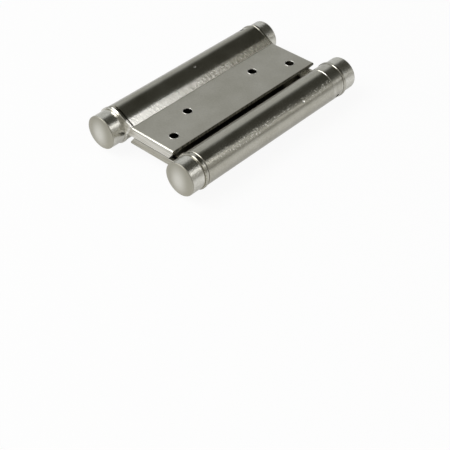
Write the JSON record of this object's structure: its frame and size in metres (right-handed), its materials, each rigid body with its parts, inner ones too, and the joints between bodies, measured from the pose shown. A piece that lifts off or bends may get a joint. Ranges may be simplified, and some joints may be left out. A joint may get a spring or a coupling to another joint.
{
  "type": "double action hinge",
  "caption": "Double action spring hinge: a centre plate rolled into a spring barrel at each edge, each barrel carrying a flanged leaf with countersunk screw holes.",
  "frame": {"origin": "bottom centre of the folded hinge's bounding box, below the middle between the two pins", "axes": "+Y along the barrels towards their tension collars, +X from the door barrel to the frame barrel, +Z out of the door leaf's outer face"},
  "size_m": [0.0862, 0.147, 0.0266],
  "materials": {
    "nickel_sheet": "nickel plated steel sheet, satin on the flats and glossier on the bends",
    "nickel_turned": "turned steel, nickel plated, glossy",
    "nickel_cap": "drawn steel, nickel plated, satin",
    "turned_steel": "bare turned steel",
    "spring_steel": "oiled spring steel"
  },
  "bodies": {
    "frame_leaf": {"frame_leaf": "nickel_sheet", "frame_spindle": "turned_steel", "frame_thrust_washer": "turned_steel", "frame_near_bush": "turned_steel", "frame_near_cap": "nickel_cap", "frame_far_bush": "turned_steel", "frame_far_cap": "nickel_cap"},
    "centre": {"centre_plate": "nickel_sheet", "door_spring_anchor": "turned_steel", "frame_spring_anchor": "turned_steel", "door_torsion_spring": "spring_steel", "frame_torsion_spring": "spring_steel"},
    "door_leaf": {"door_leaf": "nickel_sheet", "door_spindle": "turned_steel", "door_thrust_washer": "turned_steel", "door_near_bush": "turned_steel", "door_near_cap": "nickel_cap", "door_far_bush": "turned_steel", "door_far_cap": "nickel_cap"},
    "frame_collar": {"frame_tension_collar": "nickel_turned"},
    "door_collar": {"door_tension_collar": "nickel_turned"}
  },
  "joints": [
    {"name": "frame_swing", "type": "hinge", "parent": "frame_leaf", "child": "centre", "pos_m": [0.03175, 0, 0.0133], "axis": [0, 1, 0], "range_deg": [0, 180], "stiffness_Nm_per_rad": 1.6, "deforming": ["frame_torsion_spring"]},
    {"name": "door_swing", "type": "hinge", "parent": "centre", "child": "door_leaf", "pos_m": [-0.03175, 0, 0.0133], "axis": [0, -1, 0], "range_deg": [0, 180], "stiffness_Nm_per_rad": 1.6, "deforming": ["door_torsion_spring"]},
    {"name": "frame_tension_turn", "type": "hinge", "parent": "frame_leaf", "child": "frame_collar", "pos_m": [0.03175, 0.05565, 0.0133], "axis": [0, 1, 0], "range_deg": [0, 120], "deforming": ["frame_torsion_spring"]},
    {"name": "door_tension_turn", "type": "hinge", "parent": "door_leaf", "child": "door_collar", "pos_m": [-0.03175, 0.05565, 0.0133], "axis": [0, 1, 0], "range_deg": [0, 120], "deforming": ["door_torsion_spring"]}
  ]
}
